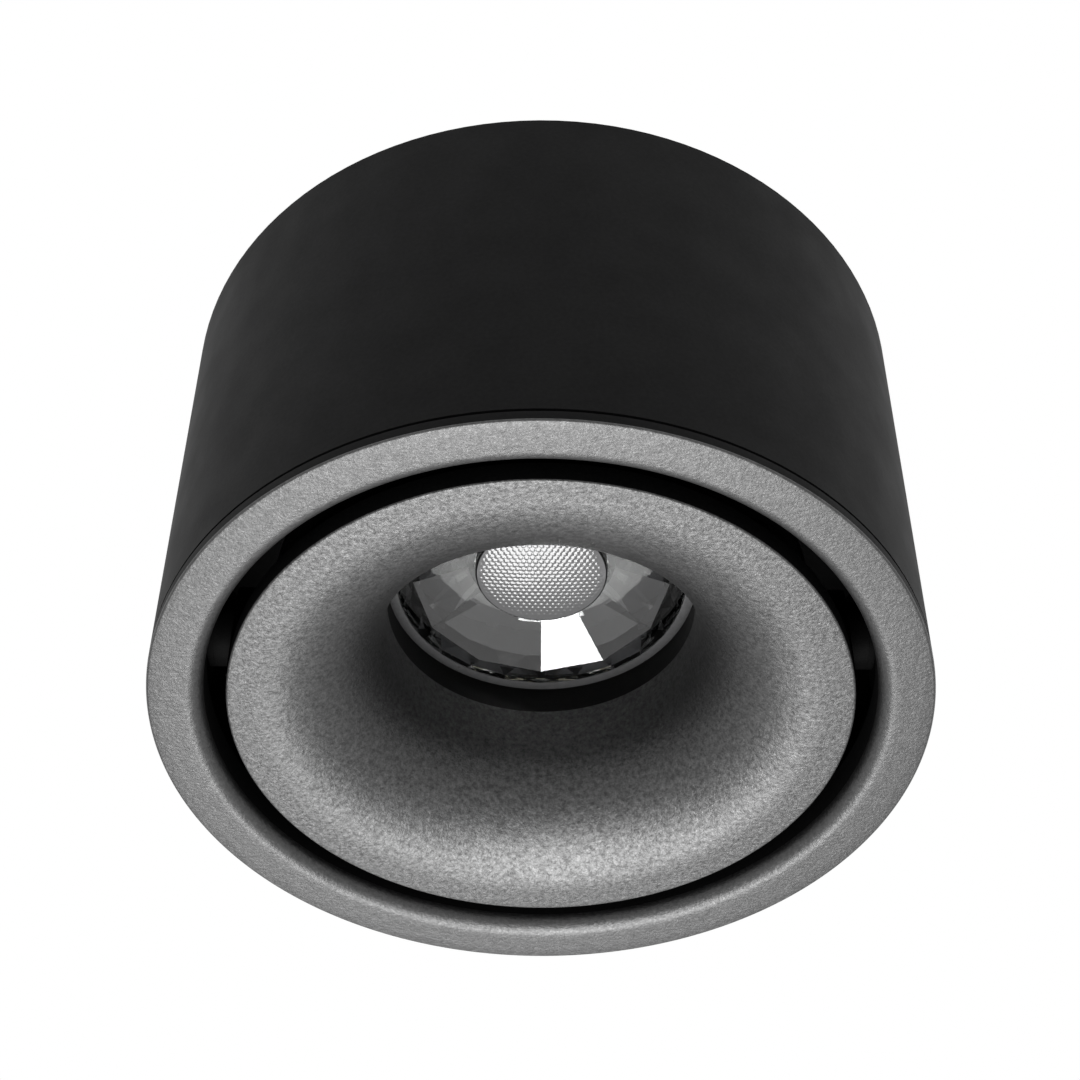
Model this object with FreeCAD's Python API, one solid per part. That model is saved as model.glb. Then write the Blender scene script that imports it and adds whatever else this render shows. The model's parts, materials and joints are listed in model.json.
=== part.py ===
import FreeCAD, Part
import math
import os

# Surface mounted ceiling spotlight.  A round cast housing hangs under the ceiling.  Inside its mouth
# a steel ring swivels about the vertical axis, and the lamp head tilts in that ring's two ears.
# Millimetres, +Z up.  The origin is the middle of the face that meets the ceiling.
# A depth is a height above the front face, so depth 0 is the lowest face of the trim ring.

Vector = FreeCAD.Vector

# ---------------------------------------------------------------- overall
housing_d = 100.0
housing_h = 61.0

# ---------------------------------------------------------------- housing shell
shell_wall = 3.0
seat_step = 1.2
deck_t = 2.0
wiring_room = 8.5
seam_chamfer = 0.3

# ---------------------------------------------------------------- trim ring
trim_w = 7.0
trim_flange_t = 2.0
trim_spigot_h = 4.0
trim_round = 2.2
trim_outer_chamfer = 0.3
thread_gap = 0.1

# ---------------------------------------------------------------- swivel
sheet_t = 1.5
slip_t = 0.8
keeper_t = 1.5
keeper_play = 0.1
keeper_split = 3.0
swivel_gap = 0.4
swivel_setback = 0.6
ear_w = 10.0
stop_h = 2.0
stop_w = 2.5
hook_gap = 0.4
overcut = 1.0

# ---------------------------------------------------------------- pivots
pivot_head_r = 3.0
pivot_head_t = 1.4
pivot_shoulder_r = 2.0
pivot_thread_r = 1.5
pivot_run_gap = 0.05
pivot_end_play = 0.1
pivot_boss_r = 4.5
pivot_web_t = 2.5
pivot_web_w = 12.0
washer_t = 0.8

# ---------------------------------------------------------------- baffle
face_gap = 2.9
baffle_recess = 0.95
baffle_land = 3.5
baffle_wall = 2.0
baffle_edge = 0.3
rim_h = 3.0
rim_w = 1.6
throat_r = 20.6
throat_share = 0.415
sink_boss_r = 3.5
boss_sink = 1.0

# ---------------------------------------------------------------- lens and its retainer
lens_setback = 23.95
retainer_step = 0.4
fit_gap = 0.1
lens_flange_t = 1.8
lens_flange_w = 2.95
lens_rim_w = 2.3
lens_cone_slope = 22.0
sector_count = 12
facet_count = 24
bead_r = 9.0
bead_rise = 1.7
bead_bevel = 0.4
lens_pocket_r = 6.3
lens_tip_wall = 0.9
lens_gap = 0.3

# ---------------------------------------------------------------- light source
emitter_r = 6.0
emitter_t = 0.5
led_board_w = 19.0
led_board_t = 1.0
pad_t = 0.3
holder_r = 16.0
holder_lip_t = 1.2
holder_window_r = 9.0
holder_screw_x = 13.0
holder_screw_r = 1.0

# ---------------------------------------------------------------- heat sink
cup_wall = 2.0
sink_base_t = 3.0
sink_chamfer = 2.5
sink_flange_t = 2.0
sink_flange_lap = 2.25
sink_lug_gap = 1.6
sink_seat_w = 0.7
fin_count = 24
fin_t = 1.4
fin_top_reach = 2.3
fin_below_base = 3.0
sink_screw_r = 1.5
sink_screw_head_r = 2.6
sink_screw_head_t = 1.8
sink_screw_len = 8.0
bush_r = 3.0
bush_bore_r = 1.6
bush_x = 17.5
head_room = 0.9

# ---------------------------------------------------------------- ceiling plate
plate_t = 1.5
plate_gap = 0.4
plate_tab_w = 12.0
plate_tab_drop = 5.0
side_screw_drop = 4.0
side_screw_r = 1.5
side_screw_inset = 0.3
side_screw_grip = 0.5
slot_pitch = 60.0
slot_w = 4.4
slot_len = 9.0
cable_y = 20.0
cable_r = 4.0
grommet_wall = 2.0
grommet_flange_w = 2.0
grommet_flange_t = 2.0

# ---------------------------------------------------------------- wiring on the deck
block_l = 24.0
block_w = 10.0
block_h = 6.5
pole_pitch = 8.0
pole_r = 1.6
pole_depth = 5.0
terminal_screw_r = 1.5
terminal_screw_sunk = 0.5
terminal_screw_len = 2.4
wire_r = 0.9
wire_spread = 4.0
wire_hole_r = 3.6
earth_wire_len = 4.0
earth_wire_inset = 0.3
crimp_len = 4.0
crimp_wall = 0.5
tag_r = 3.0
tag_t = 0.8
earth_screw_r = 1.5
earth_head_r = 2.6
earth_head_t = 1.8

# ---------------------------------------------------------------- driver
case_gap = 1.0
case_w = 15.5
case_wall = 1.2
case_sweep_gap = 1.3
post_r = 3.0
case_screw_r = 1.5
case_screw_head_r = 2.75
case_screw_head_t = 1.8
case_screw_len = 8.0
sheet_insulation_t = 0.4
board_t = 1.6
board_lift = 1.5
board_gap = 0.3
part_head_room = 0.4
lead_notch_w = 5.0
lead_notch_h = 3.0

# ---------------------------------------------------------------- parts on the driver board
can_r = 4.0
can_edge = 0.5
choke_r = 3.6
choke_waist_r = 2.9
choke_flange_t = 1.4
core_radial = 10.5
core_len = 13.0
core_leg = 2.6
fuse_len = 8.0
fuse_r = 1.6
film_len = 10.0
film_w = 4.5
bridge_len = 6.5
bridge_w = 5.0
bridge_h = 2.5
chip_len = 4.0
chip_w = 5.0
chip_h = 1.6
socket_len = 6.0
socket_w = 6.5
socket_wall = 0.8
short_part = 0.7

# ---------------------------------------------------------------- worked out: radii
housing_r = housing_d / 2
bore_r = housing_r - shell_wall
seat_r = bore_r + seat_step
trim_bore_r = housing_r - trim_w
baffle_r = trim_bore_r - face_gap
swivel_in_r = trim_bore_r + swivel_setback
swivel_out_r = seat_r - swivel_gap
ear_out_x = swivel_in_r + sheet_t
keeper_in_r = math.hypot(ear_out_x, ear_w / 2) + swivel_gap
keeper_out_r = seat_r - thread_gap
roll_r = baffle_r - baffle_land - throat_r
roll_centre_r = throat_r + roll_r
cup_in_r = throat_r + baffle_wall + fit_gap
cup_out_r = cup_in_r + cup_wall
web_in_x = baffle_r - baffle_edge - pivot_web_t
boss_end_x = swivel_in_r - washer_t
lens_flange_in_r = cup_in_r - fit_gap - lens_flange_w
lens_cone_r = lens_flange_in_r - lens_rim_w
lens_tip_r = lens_pocket_r + lens_tip_wall
sink_flange_r = web_in_x - sink_lug_gap
sink_screw_circle_r = (cup_out_r + sink_flange_r) / 2
plate_r = bore_r - plate_gap
case_out_r = bore_r - case_gap
case_in_r = case_out_r - case_w
board_in_r = case_in_r + case_wall + board_gap
board_out_r = case_out_r - case_wall - board_gap
track_r = (board_in_r + board_out_r) / 2

# ---------------------------------------------------------------- worked out: depths
trim_top = trim_flange_t + trim_spigot_h
ring_low = trim_top + slip_t
ring_top = ring_low + sheet_t
keeper_low = ring_top + keeper_play
seat_depth = keeper_low + keeper_t
stop_top = seat_depth + stop_h
pivot_depth = stop_top + hook_gap + pivot_head_r
roll_end = baffle_recess + roll_r
lens_face = baffle_recess + lens_setback
throat_end = roll_end + (lens_face - roll_end) * throat_share
lens_back = lens_face + lens_flange_t
cone_end = lens_face + (lens_cone_r - bead_r) * math.tan(math.radians(lens_cone_slope))
sink_flange_low = throat_end - sink_flange_lap
sink_flange_top = sink_flange_low + sink_flange_t
plate_low = housing_h - plate_t
deck_top = housing_h - wiring_room
deck_low = deck_top - deck_t
sweep_r = deck_low - head_room - pivot_depth
sink_corner_r = cup_out_r - sink_chamfer
sink_top = pivot_depth + math.sqrt(sweep_r ** 2 - sink_corner_r ** 2)
sink_base_low = sink_top - sink_base_t
led_board_low = sink_base_low - pad_t - led_board_t
emitter_low = led_board_low - emitter_t
lens_tip = led_board_low - holder_lip_t - holder_screw_r - lens_gap
flange_sweep_r = math.hypot(sink_flange_r, sink_flange_top - pivot_depth)
case_sweep_r = max(sweep_r, flange_sweep_r) + case_sweep_gap
case_low = pivot_depth + math.sqrt(case_sweep_r ** 2 - case_in_r ** 2)
case_top = deck_low - sheet_insulation_t
board_low = case_low + case_wall + board_lift
board_top = board_low + board_t
part_room = case_top - board_top - part_head_room
block_front = -track_r + block_w / 2
earth_x = block_l / 2 - wire_r - earth_wire_inset
earth_y = block_front + earth_wire_len + crimp_len + earth_head_r + fit_gap
earth_level = deck_top + wire_r + crimp_wall

POST_ANGLES = (90, 210, 330)
SINK_SCREW_ANGLES = (90, 210, 330)
STOP_ANGLE = -90
BACK_BEVEL = 45
ROUND_FLATS = 5
FACET_ROWS = ((0.165, 0.3), (0.5, 0.64))
BULK_ANGLE = 8
TRANSFORMER_ANGLE = 42
CHIP_ANGLE = 66
OUTPUT_CAN_ANGLE = 118
CHOKE_ANGLE = 140
SOCKET_ANGLE = 168
FUSE_ANGLE = 248
FILM_ANGLE = 295
BRIDGE_ANGLE = 350
BOTH_SIDES = (0, 180)


# ---------------------------------------------------------------- helpers
def z_at(depth):
    return depth - housing_h


def point(x, y, depth):
    return Vector(x, y, z_at(depth))


def rod(radius, start, end):
    run = end - start
    return Part.makeCylinder(radius, run.Length, start, run)


def disc(radius, low, top, x=0.0, y=0.0):
    return rod(radius, point(x, y, low), point(x, y, top))


def ring(out_r, in_r, low, top, x=0.0, y=0.0):
    return disc(out_r, low, top, x, y).cut(disc(in_r, low, top, x, y))


def block(x0, x1, y0, y1, low, top):
    return Part.makeBox(x1 - x0, y1 - y0, top - low, point(x0, y0, low))


def turned(edges):
    face = Part.Face(Part.Wire(Part.__sortEdges__(edges)))
    return face.revolve(Vector(0, 0, 0), Vector(0, 0, 1), 360)


def chain(points):
    spots = [point(radius, 0, depth) for radius, depth in points]
    return [Part.makeLine(start, end) for start, end in zip(spots, spots[1:])]


def turned_outline(points):
    return turned(chain(points + points[:1]))


# A spline of the same arc, because it meshes with far fewer facets when it is turned.
def arc(start, centre, end):
    mid = Vector(start[0] + end[0] - 2 * centre[0], 0, start[1] + end[1] - 2 * centre[1])
    mid.normalize()
    radius = math.hypot(start[0] - centre[0], start[1] - centre[1])
    through = point(centre[0], 0, centre[1]) + mid * radius
    first = point(start[0], 0, start[1])
    last = point(end[0], 0, end[1])
    return Part.Arc(first, through, last).toBSpline().toShape()


# The inner lower quarter of a small round, in a few flats that are too short to see.
def quarter_round(centre_r, centre_depth, radius):
    spots = []
    for step in range(ROUND_FLATS + 1):
        angle = math.radians(180 + 90 * step / ROUND_FLATS)
        spots.append((centre_r + radius * math.cos(angle), centre_depth + radius * math.sin(angle)))
    return spots


def turn(shape, angle):
    copy = shape.copy()
    copy.rotate(Vector(0, 0, 0), Vector(0, 0, 1), angle)
    return copy


def around(shape, angles):
    return [turn(shape, angle) for angle in angles]


def joined(shape, more):
    return shape.fuse(more).removeSplitter()


def group(solids):
    return Part.makeCompound(solids)


def screw_down(head_r, head_t, shank_r, length, seat, x, y):
    head = disc(head_r, seat, seat + head_t, x, y)
    slot = block(x - head_r, x + head_r, y - head_t / 4, y + head_t / 4, seat + head_t / 2, seat + head_t)
    shank = disc(shank_r, seat - length, seat, x, y)
    return head.cut(slot).fuse(shank).removeSplitter()


def save(name, shape):
    shape.exportStep("parts/" + name + ".step")


# ---------------------------------------------------------------- housing
def side_hole(radius):
    depth = housing_h - side_screw_drop
    return rod(radius, point(-housing_r, 0, depth), point(housing_r, 0, depth))


def housing_shell():
    body = turned_outline([
        (seat_r, trim_flange_t),
        (housing_r, trim_flange_t),
        (housing_r, housing_h),
        (bore_r, housing_h),
        (bore_r, deck_top),
        (0, deck_top),
        (0, deck_low),
        (bore_r, deck_low),
        (bore_r, seat_depth),
        (seat_r, seat_depth),
    ])
    cuts = around(disc(case_screw_r + fit_gap, deck_low, deck_top, track_r), POST_ANGLES)
    cuts.append(disc(wire_hole_r, deck_low, deck_top, 0, -track_r))
    cuts.append(disc(earth_screw_r, deck_low, deck_top, earth_x, earth_y))
    cuts.append(side_hole(side_screw_r + fit_gap))
    return body.cut(cuts)


def trim_ring():
    return turned_outline(quarter_round(trim_bore_r + trim_round, trim_round, trim_round) + [
        (housing_r - trim_outer_chamfer, 0),
        (housing_r, trim_outer_chamfer),
        (housing_r, trim_flange_t - seam_chamfer),
        (housing_r - seam_chamfer, trim_flange_t),
        (keeper_out_r, trim_flange_t),
        (keeper_out_r, trim_top),
        (trim_bore_r, trim_top),
    ])


def ceiling_plate():
    plate = disc(plate_r, plate_low, housing_h)
    tab = block(plate_r - 2 * plate_t, plate_r, -plate_tab_w / 2, plate_tab_w / 2,
                plate_low - plate_tab_drop, plate_low)
    bend = tab.common(ring(plate_r, plate_r - plate_t, plate_low - plate_tab_drop, plate_low))
    for side in around(bend, BOTH_SIDES):
        plate = plate.fuse(side)
    cuts = [disc(cable_r + grommet_wall, plate_low, housing_h, 0, cable_y)]
    for side in (-1, 1):
        centre = side * slot_pitch / 2
        reach = (slot_len - slot_w) / 2
        cuts.append(disc(slot_w / 2, plate_low, housing_h, centre - reach))
        cuts.append(disc(slot_w / 2, plate_low, housing_h, centre + reach))
        cuts.append(block(centre - reach, centre + reach, -slot_w / 2, slot_w / 2, plate_low, housing_h))
    cuts.append(side_hole(side_screw_r))
    return plate.cut(cuts).removeSplitter()


def side_screws():
    depth = housing_h - side_screw_drop
    outer = point(housing_r - side_screw_inset, 0, depth)
    inner = point(plate_r - plate_t - side_screw_grip, 0, depth)
    socket = outer - Vector(side_screw_r, 0, 0)
    screw = rod(side_screw_r, inner, outer).cut(rod(side_screw_r / 2, socket, outer))
    return group(around(screw, BOTH_SIDES))


def cable_grommet():
    body_r = cable_r + grommet_wall
    flange_low = plate_low - grommet_flange_t
    body = disc(body_r, plate_low, housing_h, 0, cable_y)
    flange = disc(body_r + grommet_flange_w, flange_low, plate_low, 0, cable_y)
    return joined(body, [flange]).cut(disc(cable_r, flange_low, housing_h, 0, cable_y))


# ---------------------------------------------------------------- wiring on the deck
def poles():
    return [-pole_pitch, 0.0, pole_pitch]


def terminal_block():
    half = block_w / 2
    body = block(-block_l / 2, block_l / 2, -track_r - half, -track_r + half, deck_top, deck_top + block_h)
    cuts = []
    for x in poles():
        level = deck_top + block_h / 2
        inner = point(x, block_front - pole_depth, level)
        cuts.append(rod(pole_r, inner, point(x, block_front, level)))
        well = terminal_screw_sunk + terminal_screw_len
        cuts.append(disc(terminal_screw_r, deck_top + block_h - well, deck_top + block_h, x, -track_r))
    return body.cut(cuts)


def terminal_screws():
    top = deck_top + block_h - terminal_screw_sunk
    low = top - terminal_screw_len
    return group([disc(terminal_screw_r, low, top, x, -track_r) for x in poles()])


def input_wires():
    half = wire_spread / 2
    return group([disc(wire_r, board_top, deck_top, x, -track_r) for x in (-half, half)])


def earth_wire():
    start = point(earth_x, block_front, earth_level)
    return rod(wire_r, start, start + Vector(0, earth_wire_len, 0))


def earth_tag():
    start = point(earth_x, block_front + earth_wire_len, earth_level)
    crimp = rod(wire_r + crimp_wall, start, start + Vector(0, crimp_len, 0))
    pad = disc(tag_r, deck_top, deck_top + tag_t, earth_x, earth_y)
    hole = disc(earth_screw_r, deck_top, deck_top + tag_t, earth_x, earth_y)
    return joined(pad, [crimp]).cut(hole)


def earth_screw():
    return screw_down(earth_head_r, earth_head_t, earth_screw_r, deck_t + tag_t, deck_top + tag_t,
                      earth_x, earth_y)


# ---------------------------------------------------------------- driver
def driver_case():
    trough = ring(case_out_r, case_in_r, case_low, case_top)
    hollow = ring(case_out_r - case_wall, case_in_r + case_wall, case_low + case_wall, case_top)
    case = trough.cut(hollow)
    post = disc(post_r, case_low + case_wall / 2, case_top, track_r)
    case = joined(case, around(post, POST_ANGLES))
    pilot = disc(case_screw_r, case_top - case_screw_len, case_top, track_r)
    notch = block(-case_out_r, -case_in_r + case_wall, -lead_notch_w / 2, lead_notch_w / 2,
                  case_top - lead_notch_h, case_top)
    notch = notch.common(disc(case_in_r + case_wall, case_top - lead_notch_h, case_top))
    return case.cut(around(pilot, POST_ANGLES) + [notch])


def case_screws():
    screw = screw_down(case_screw_head_r, case_screw_head_t, case_screw_r,
                       deck_t + sheet_insulation_t + case_screw_len, deck_top, track_r, 0)
    return group(around(screw, POST_ANGLES))


def insulation_sheet():
    sheet = ring(case_out_r, case_in_r, case_top, deck_low)
    cuts = around(disc(case_screw_r + fit_gap, case_top, deck_low, track_r), POST_ANGLES)
    cuts.append(disc(wire_hole_r, case_top, deck_low, 0, -track_r))
    return sheet.cut(cuts)


def driver_board():
    board = ring(board_out_r, board_in_r, board_low, board_top)
    return board.cut(around(disc(post_r + fit_gap, board_low, board_top, track_r), POST_ANGLES))


def on_board(shape, angle):
    copy = shape.copy()
    copy.translate(Vector(track_r, 0, z_at(board_top)))
    return turn(copy, angle)


def upright_can(height, angle):
    can = Part.makeCylinder(can_r, height - can_edge)
    top = Part.makeCone(can_r, can_r - can_edge, can_edge, Vector(0, 0, height - can_edge))
    return on_board(can.fuse(top), angle)


def brick(radial, tangential, height, angle):
    body = Part.makeBox(radial, tangential, height, Vector(-radial / 2, -tangential / 2, 0))
    return on_board(body, angle)


def bulk_capacitor():
    return upright_can(part_room, BULK_ANGLE)


def output_capacitor():
    return upright_can(part_room - 2 * can_edge, OUTPUT_CAN_ANGLE)


def output_choke():
    height = part_room * short_part
    waist = Part.makeCylinder(choke_waist_r, height)
    low = Part.makeCylinder(choke_r, min(choke_flange_t, height / 4))
    top = low.copy()
    top.translate(Vector(0, 0, height - min(choke_flange_t, height / 4)))
    return on_board(joined(waist, [low, top]), CHOKE_ANGLE)


def transformer_windows():
    yoke = part_room / 4
    height = part_room - 2 * yoke
    width = (core_len - 3 * core_leg) / 2
    sides = []
    for start in (-core_len / 2 + core_leg, core_leg / 2):
        sides.append(Part.makeBox(core_radial, width, height, Vector(-core_radial / 2, start, yoke)))
    return sides


def transformer_core():
    core = Part.makeBox(core_radial, core_len, part_room, Vector(-core_radial / 2, -core_len / 2, 0))
    return on_board(core.cut(transformer_windows()), TRANSFORMER_ANGLE)


def transformer_coil():
    return group([on_board(side, TRANSFORMER_ANGLE) for side in transformer_windows()])


def fuse_resistor():
    start = Vector(-fuse_len / 2, 0, fuse_r)
    return on_board(Part.makeCylinder(fuse_r, fuse_len, start, Vector(1, 0, 0)), FUSE_ANGLE)


def film_capacitor():
    return brick(film_len, film_w, part_room - 2 * can_edge, FILM_ANGLE)


def bridge_rectifier():
    return brick(bridge_len, bridge_w, bridge_h, BRIDGE_ANGLE)


def controller_chip():
    return brick(chip_len, chip_w, chip_h, CHIP_ANGLE)


def output_socket():
    height = part_room * short_part
    body = Part.makeBox(socket_len, socket_w, height, Vector(-socket_len / 2, -socket_w / 2, 0))
    mouth = Part.makeBox(socket_len / 2, socket_w - 2 * socket_wall, height - 2 * socket_wall,
                         Vector(-socket_len / 2, -socket_w / 2 + socket_wall, socket_wall))
    return on_board(body.cut(mouth), SOCKET_ANGLE)


# ---------------------------------------------------------------- swivel
def slip_ring():
    return ring(swivel_out_r, swivel_in_r, trim_top, ring_low)


def keeper_ring():
    body = ring(keeper_out_r, keeper_in_r, keeper_low, seat_depth)
    split = block(0, housing_r, -keeper_split / 2, keeper_split / 2, keeper_low, seat_depth)
    stop = block(keeper_in_r - overcut, bore_r, -stop_w / 2, stop_w / 2, keeper_low, stop_top)
    stop = stop.common(ring(bore_r - swivel_gap, keeper_in_r, keeper_low, stop_top))
    return joined(body.cut(split), [turn(stop, STOP_ANGLE)])


def swivel_ring():
    body = ring(swivel_out_r, swivel_in_r, ring_low, ring_top)
    half = ear_w / 2
    leg = block(swivel_in_r, ear_out_x, -half, half, ring_low, pivot_depth)
    cap = rod(half, point(swivel_in_r, 0, pivot_depth), point(ear_out_x, 0, pivot_depth))
    ear = leg.fuse(cap).removeSplitter()
    hole_r = pivot_shoulder_r + pivot_run_gap
    hole = rod(hole_r, point(swivel_in_r - overcut, 0, pivot_depth),
               point(ear_out_x + overcut, 0, pivot_depth))
    ears = around(ear.cut(hole), BOTH_SIDES)
    hook_low = seat_depth + hook_gap
    post = block(swivel_in_r, keeper_in_r, -stop_w / 2, stop_w / 2, ring_low, stop_top)
    post = post.common(ring(keeper_in_r - swivel_gap, swivel_in_r, ring_low, stop_top))
    hook = block(swivel_in_r, bore_r, -stop_w / 2, stop_w / 2, hook_low, stop_top)
    hook = hook.common(ring(bore_r - swivel_gap, swivel_in_r, hook_low, stop_top))
    return joined(body, ears + around(post.fuse(hook), [STOP_ANGLE + 180]))


def pivot_washers():
    inner = point(boss_end_x, 0, pivot_depth)
    outer = point(swivel_in_r, 0, pivot_depth)
    hole_r = pivot_shoulder_r + pivot_run_gap
    washer = rod(pivot_boss_r, inner, outer).cut(rod(hole_r, inner, outer))
    return group(around(washer, BOTH_SIDES))


def pivot_screws():
    tip = point(web_in_x, 0, pivot_depth)
    shoulder = point(boss_end_x, 0, pivot_depth)
    seat = point(ear_out_x + pivot_end_play, 0, pivot_depth)
    end = seat + Vector(pivot_head_t, 0, 0)
    socket = end - Vector(pivot_head_t / 2, 0, 0)
    thread = rod(pivot_thread_r, tip, shoulder)
    neck = rod(pivot_shoulder_r, shoulder, seat)
    head = rod(pivot_head_r, seat, end).cut(rod(pivot_thread_r, socket, end))
    return group(around(joined(thread, [neck, head]), BOTH_SIDES))


# ---------------------------------------------------------------- lamp head
def baffle_profile():
    face = baffle_recess
    back = face + baffle_wall
    skirt_r = throat_r + baffle_wall
    shoulder = (roll_r - baffle_wall) * math.tan(math.radians(BACK_BEVEL / 2))
    roll = arc((throat_r, roll_end), (roll_centre_r, roll_end), (roll_centre_r, face))
    return [roll] + chain([
        (roll_centre_r, face),
        (baffle_r - baffle_edge, face),
        (baffle_r, face + baffle_edge),
        (baffle_r, face + rim_h),
        (baffle_r - rim_w, face + rim_h),
        (baffle_r - rim_w, back),
        (roll_centre_r - shoulder, back),
        (skirt_r, roll_end - shoulder),
        (skirt_r, throat_end),
        (throat_r, throat_end),
        (throat_r, roll_end),
    ])


def pivot_lug():
    half = pivot_web_w / 2
    web_out_x = web_in_x + pivot_web_t
    foot = baffle_recess + baffle_wall / 2
    web = block(web_in_x, web_out_x, -half, half, foot, pivot_depth)
    cap = rod(half, point(web_in_x, 0, pivot_depth), point(web_out_x, 0, pivot_depth))
    boss = rod(pivot_boss_r, point(web_in_x, 0, pivot_depth), point(boss_end_x, 0, pivot_depth))
    hole = rod(pivot_thread_r, point(web_in_x, 0, pivot_depth), point(boss_end_x, 0, pivot_depth))
    return web.fuse([cap, boss]).cut(hole)


# A screw boss starts inside the wall of the roll and stays behind its visible face.
def screw_boss():
    skin_r = roll_r - boss_sink
    start_r = roll_centre_r - skin_r
    skin = arc((start_r, roll_end), (roll_centre_r, roll_end), (roll_centre_r, roll_end - skin_r))
    behind = turned([skin] + chain([
        (roll_centre_r, roll_end - skin_r),
        (roll_centre_r, sink_flange_low),
        (start_r, sink_flange_low),
        (start_r, roll_end),
    ]))
    return disc(sink_boss_r, baffle_recess, sink_flange_low, sink_screw_circle_r).common(behind)


def baffle():
    body = turned(baffle_profile())
    boss = screw_boss()
    hole = disc(sink_screw_r, sink_flange_low - sink_screw_len, sink_flange_low, sink_screw_circle_r)
    body = joined(body, around(boss, SINK_SCREW_ANGLES) + around(pivot_lug(), BOTH_SIDES))
    return body.cut(around(hole, SINK_SCREW_ANGLES))


def lens_retainer():
    return ring(cup_in_r - fit_gap, throat_r + retainer_step, throat_end, lens_face)


# The corners of a regular outline, of which the first lies towards +Y or a share of a step past it.
def corners(count, radius, depth, past=0.0):
    angles = [2 * math.pi * (step + past) / count for step in range(count)]
    return [point(radius * math.sin(angle), radius * math.cos(angle), depth) for angle in angles]


# Diamond facets between two rows of corners, of which the second lies half a step past the first.
def facets(row, past_row):
    faces = []
    for number, spot in enumerate(row):
        after = (number + 1) % len(row)
        faces.append(Part.Face(Part.makePolygon([spot, row[after], past_row[number], spot])))
        faces.append(Part.Face(Part.makePolygon([row[after], past_row[after], past_row[number], row[after]])))
    return faces


# The wall that turns the light forward: each row of FACET_ROWS has its share of the way in and up.
def lens_wall():
    rows = []
    for number, (way_in, way_up) in enumerate(((0, 0),) + FACET_ROWS + ((1, 1),)):
        radius = lens_flange_in_r + (lens_tip_r - lens_flange_in_r) * way_in
        depth = lens_back + (lens_tip - lens_back) * way_up
        rows.append(corners(facet_count, radius, depth, number / 2))
    faces = [Part.Face(Part.makePolygon(row + row[:1])) for row in (rows[0], rows[-1])]
    for row, next_row in zip(rows, rows[1:]):
        faces += facets(row, next_row)
    return Part.Solid(Part.Shell(faces))


# The flat sectors of the front, which slope in from the rim to the bead.
def sector_recess():
    inner_r = bead_r / math.cos(math.pi / sector_count)
    rim = corners(sector_count, lens_cone_r, lens_face)
    end = corners(sector_count, inner_r, cone_end)
    return Part.makeLoft([Part.makePolygon(row + row[:1]) for row in (rim, end)], True, True)


def lens():
    bead_face = cone_end - bead_rise
    bead = turned_outline([
        (0, bead_face),
        (bead_r - bead_bevel, bead_face),
        (bead_r, bead_face + bead_bevel),
        (bead_r, cone_end),
        (0, cone_end),
    ])
    pocket = disc(lens_pocket_r, (lens_tip + cone_end) / 2, lens_tip)
    body = disc(cup_in_r - fit_gap, lens_face, lens_back).fuse(lens_wall())
    return joined(body.cut([sector_recess(), pocket]), [bead])


def led_board():
    half = led_board_w / 2
    return block(-half, half, -half, half, led_board_low, led_board_low + led_board_t)


def led_emitter():
    return disc(emitter_r, emitter_low, led_board_low)


def thermal_pad():
    half = led_board_w / 2
    return block(-half, half, -half, half, sink_base_low - pad_t, sink_base_low)


def led_holder():
    half = led_board_w / 2 + fit_gap
    body = disc(holder_r, led_board_low - holder_lip_t, sink_base_low)
    pocket = block(-half, half, -half, half, led_board_low, sink_base_low)
    window = Part.makeCone(holder_window_r + holder_lip_t, holder_window_r, holder_lip_t,
                           point(0, 0, led_board_low - holder_lip_t), Vector(0, 0, 1))
    holes = around(disc(holder_screw_r + fit_gap, led_board_low - holder_lip_t, sink_base_low,
                        holder_screw_x), BOTH_SIDES)
    return body.cut([pocket, window] + holes)


def holder_screws():
    low = led_board_low - holder_lip_t
    head = disc(2 * holder_screw_r, low - holder_screw_r, low, holder_screw_x)
    slot = block(holder_screw_x - 2 * holder_screw_r, holder_screw_x + 2 * holder_screw_r,
                 -holder_screw_r / 4, holder_screw_r / 4, low - holder_screw_r, low - holder_screw_r / 2)
    shank = disc(holder_screw_r, low, sink_base_low + sink_base_t / 2, holder_screw_x)
    return group(around(head.cut(slot).fuse(shank).removeSplitter(), BOTH_SIDES))


def fin():
    root = cup_out_r - cup_wall / 2
    top = sink_top - fin_below_base
    spots = [
        point(root, -fin_t / 2, sink_flange_low),
        point(sink_flange_r, -fin_t / 2, sink_flange_low),
        point(sink_flange_r, -fin_t / 2, sink_flange_top),
        point(cup_out_r + fin_top_reach, -fin_t / 2, top),
        point(root, -fin_t / 2, top),
    ]
    face = Part.Face(Part.makePolygon(spots + spots[:1]))
    return face.extrude(Vector(0, fin_t, 0))


def heat_sink():
    seat_in_r = lens_flange_in_r + sink_seat_w
    cup = turned_outline([
        (cup_in_r, sink_flange_low),
        (sink_flange_r, sink_flange_low),
        (sink_flange_r, sink_flange_top),
        (cup_out_r, sink_flange_top),
        (cup_out_r, sink_top - sink_chamfer),
        (sink_corner_r, sink_top),
        (0, sink_top),
        (0, sink_base_low),
        (seat_in_r, sink_base_low),
        (seat_in_r, lens_back),
        (cup_in_r, lens_back),
    ])
    pitch = 360.0 / fin_count
    fins = around(fin(), [pitch * (number + 0.5) for number in range(fin_count)])
    cuts = around(disc(sink_screw_r + fit_gap, sink_flange_low, sink_flange_top, sink_screw_circle_r),
                  SINK_SCREW_ANGLES)
    cuts += around(disc(holder_screw_r, sink_base_low, sink_base_low + sink_base_t / 2,
                        holder_screw_x), BOTH_SIDES)
    cuts.append(disc(bush_r, sink_base_low, sink_top, 0, bush_x))
    return joined(cup, fins).cut(cuts)


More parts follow.
